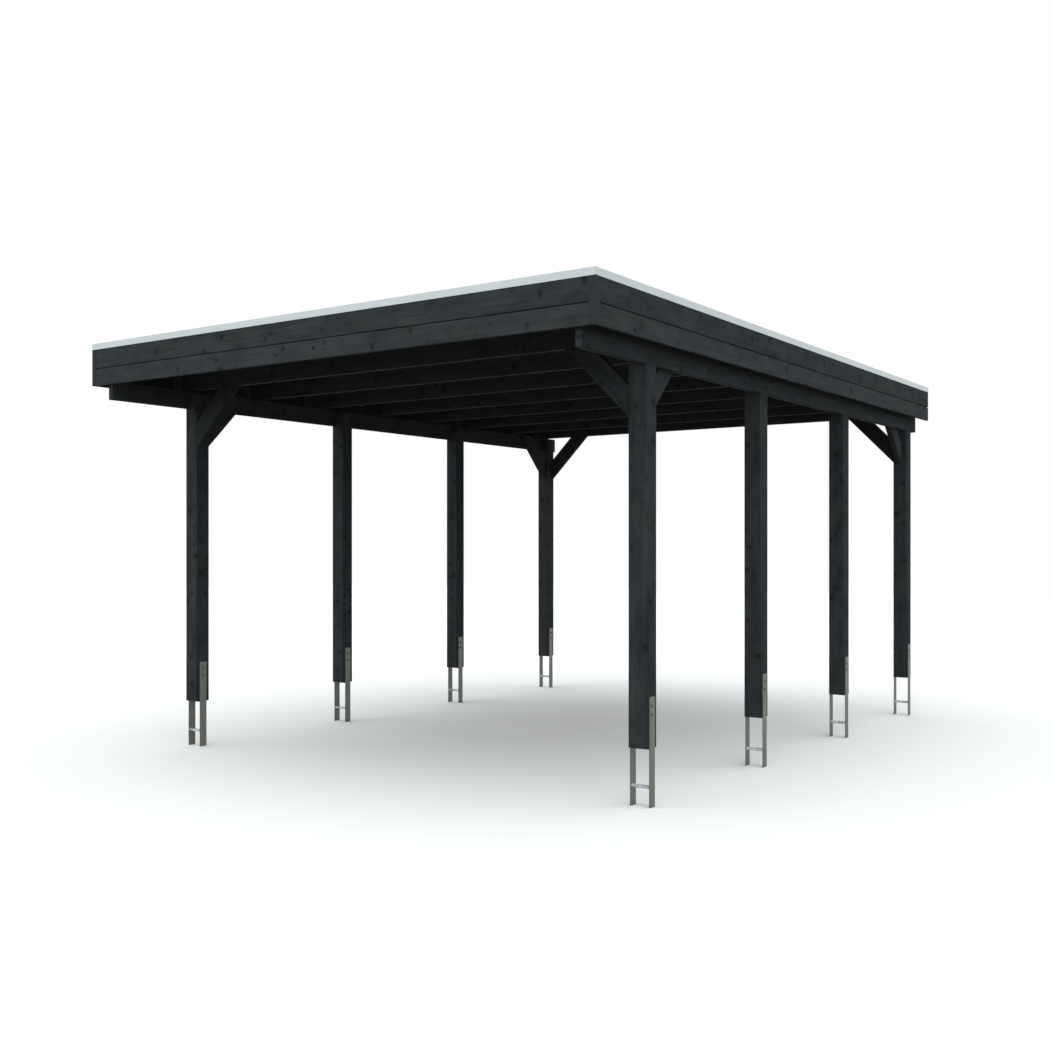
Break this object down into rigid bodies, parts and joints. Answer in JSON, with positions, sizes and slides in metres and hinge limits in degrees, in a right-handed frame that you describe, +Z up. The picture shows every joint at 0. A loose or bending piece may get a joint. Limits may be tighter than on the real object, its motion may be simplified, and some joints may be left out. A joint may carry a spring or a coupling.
{
  "type": "carport",
  "caption": "Open carport with a flat ribbed roof: dark timber posts on steel ground anchors carry purlins, rafters, knee braces and a boarded fascia with a light metal edge.",
  "frame": {"origin": "at the lower ends of the post anchors, under the middle of the roof", "axes": "+X across the parking bay to the right-hand row of posts, +Y from the open front to the rear, +Z up"},
  "size_m": [4.039, 5.539, 2.835],
  "materials": {
    "stained_timber": "matt anthracite stain on planed softwood",
    "painted_angle": "matt anthracite paint on a thin metal angle",
    "galvanised_steel": "dull hot-dip zinc",
    "edge_metal": "satin",
    "roof_sheet": "satin coil coating"
  },
  "bodies": {
    "root": {"anchor_left_1": "galvanised_steel", "anchor_left_2": "galvanised_steel", "anchor_left_3": "galvanised_steel", "anchor_left_4": "galvanised_steel", "anchor_right_1": "galvanised_steel", "anchor_right_2": "galvanised_steel", "anchor_right_3": "galvanised_steel", "anchor_right_4": "galvanised_steel", "corner_strip_left": "painted_angle", "corner_strip_right": "painted_angle", "cross_brace_front_left": "stained_timber", "cross_brace_front_right": "stained_timber", "cross_brace_rear_left": "stained_timber", "cross_brace_rear_right": "stained_timber", "edge_trim_front": "edge_metal", "edge_trim_left": "edge_metal", "edge_trim_right": "edge_metal", "fascia_front_lower": "stained_timber", "fascia_front_upper": "stained_timber", "fascia_left_lower": "stained_timber", "fascia_left_upper": "stained_timber", "fascia_right_lower": "stained_timber", "fascia_right_upper": "stained_timber", "post_left_1": "stained_timber", "post_left_2": "stained_timber", "post_left_3": "stained_timber", "post_left_4": "stained_timber", "post_right_1": "stained_timber", "post_right_2": "stained_timber", "post_right_3": "stained_timber", "post_right_4": "stained_timber", "purlin_left": "stained_timber", "purlin_right": "stained_timber", "rafter_1": "stained_timber", "rafter_2": "stained_timber", "rafter_3": "stained_timber", "rafter_4": "stained_timber", "rafter_5": "stained_timber", "rafter_6": "stained_timber", "rafter_7": "stained_timber", "rafter_8": "stained_timber", "rafter_9": "stained_timber", "rafter_brackets_left": "galvanised_steel", "rafter_brackets_right": "galvanised_steel", "roof_sheet_1": "roof_sheet", "roof_sheet_2": "roof_sheet", "roof_sheet_3": "roof_sheet", "roof_sheet_4": "roof_sheet", "side_brace_front_left": "stained_timber", "side_brace_front_right": "stained_timber", "side_brace_rear_left": "stained_timber", "side_brace_rear_right": "stained_timber"}
  },
  "joints": []
}
